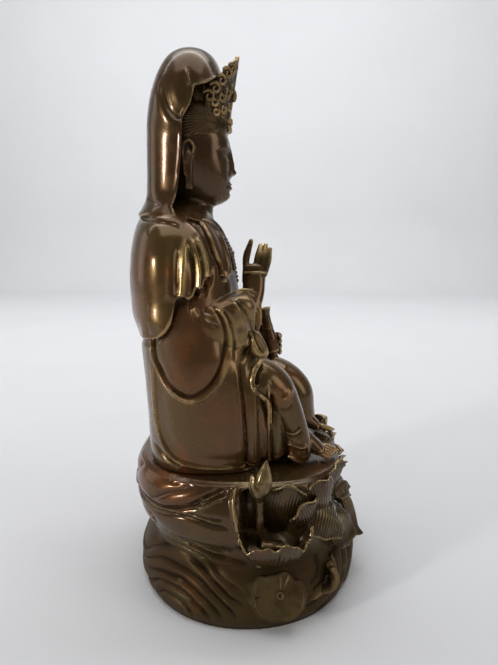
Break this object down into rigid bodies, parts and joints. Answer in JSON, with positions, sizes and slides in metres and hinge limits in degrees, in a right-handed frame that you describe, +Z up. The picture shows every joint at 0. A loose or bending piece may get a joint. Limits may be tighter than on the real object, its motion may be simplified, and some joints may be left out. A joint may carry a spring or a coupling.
{
  "type": "guanyin figure",
  "caption": "Seated robed bodhisattva in cast brass, with veil, tiara, raised hand and vase, on a rock plinth with waves and lotus.",
  "frame": {"origin": "middle of the plinth's underside, on the surface that it stands on", "axes": "+Z up; the figure looks along -Y, and its right hand is on the -X side"},
  "size_m": [0.1266, 0.1093, 0.2433],
  "materials": {
    "figure_brass": "glossy brown patina over cast brass, worn bright on hems, pleats and fingertips",
    "plinth_brass": "darker brown patina over cast brass, near black in the grooves, worn bright on petal rims"
  },
  "bodies": {
    "root": {"seated_figure": "figure_brass", "rock_plinth": "plinth_brass"}
  },
  "joints": []
}
